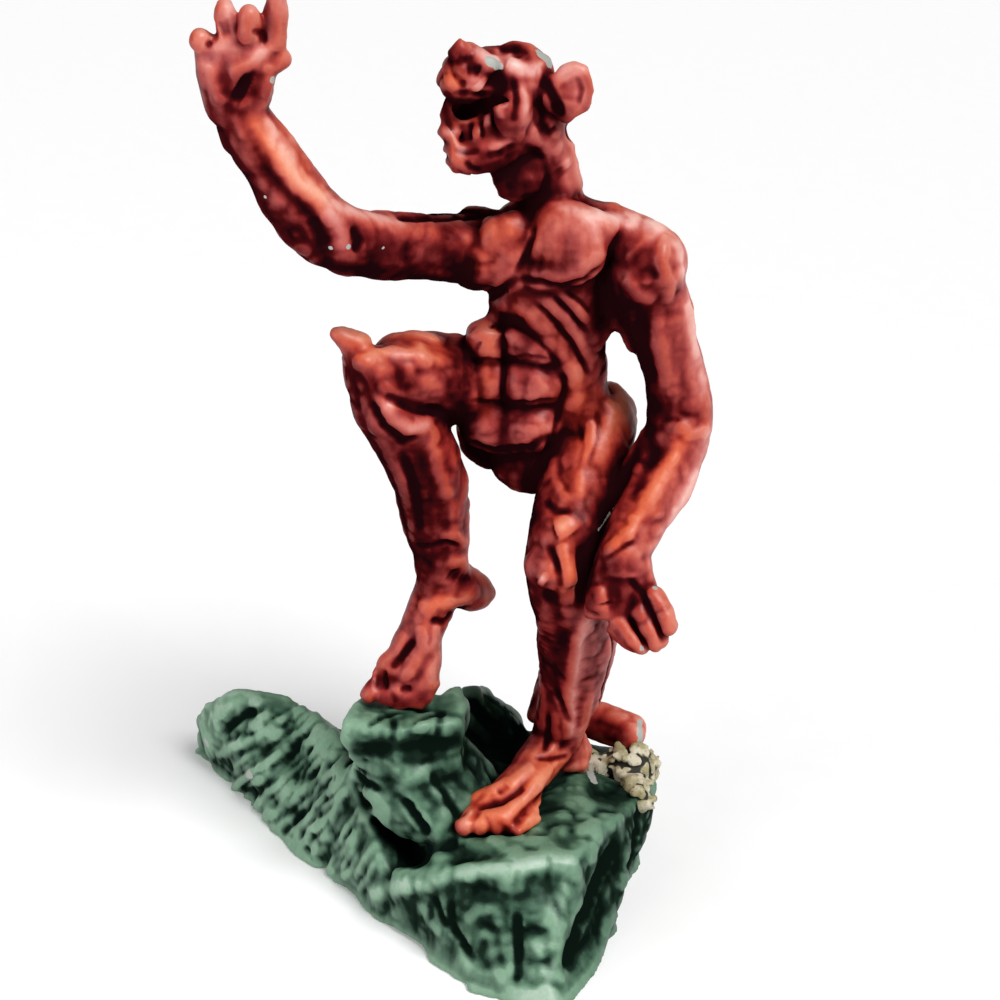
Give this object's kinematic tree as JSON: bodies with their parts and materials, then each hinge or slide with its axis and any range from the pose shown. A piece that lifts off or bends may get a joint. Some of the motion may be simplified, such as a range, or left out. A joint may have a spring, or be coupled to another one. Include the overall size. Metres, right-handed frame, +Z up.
{
  "type": "miniature gargoyle figure",
  "caption": "Painted miniature gargoyle, striding with a raised open hand and one foot up on a ledge of a rough rock base.",
  "frame": {"origin": "a point near the middle of the rock's flat underside", "axes": "+Z up, -Y towards the viewer in front of the figure, +X towards the figure's left"},
  "size_m": [0.0381, 0.0333, 0.0645],
  "materials": {
    "red_paint": "satin varnish over red paint with a dark wash in the hollows and pale dry-brushed edges",
    "green_paint": "dark green paint with pale green dry-brushed ridges",
    "filler": "rough, crumbly cream filler",
    "brass": "drawn wire"
  },
  "bodies": {
    "root": {"rock_base": "green_paint", "ledge_slab": "green_paint", "torso": "red_paint", "head": "red_paint", "right_arm": "red_paint", "left_arm": "red_paint", "right_leg": "red_paint", "left_leg": "red_paint", "tail": "red_paint", "filler_patch": "filler", "neck_pin": "brass", "right_shoulder_pin": "brass", "left_shoulder_pin": "brass", "right_hip_pin": "brass", "left_hip_pin": "brass", "tail_pin": "brass", "left_foot_pin": "brass", "right_foot_pin": "brass"}
  },
  "joints": []
}
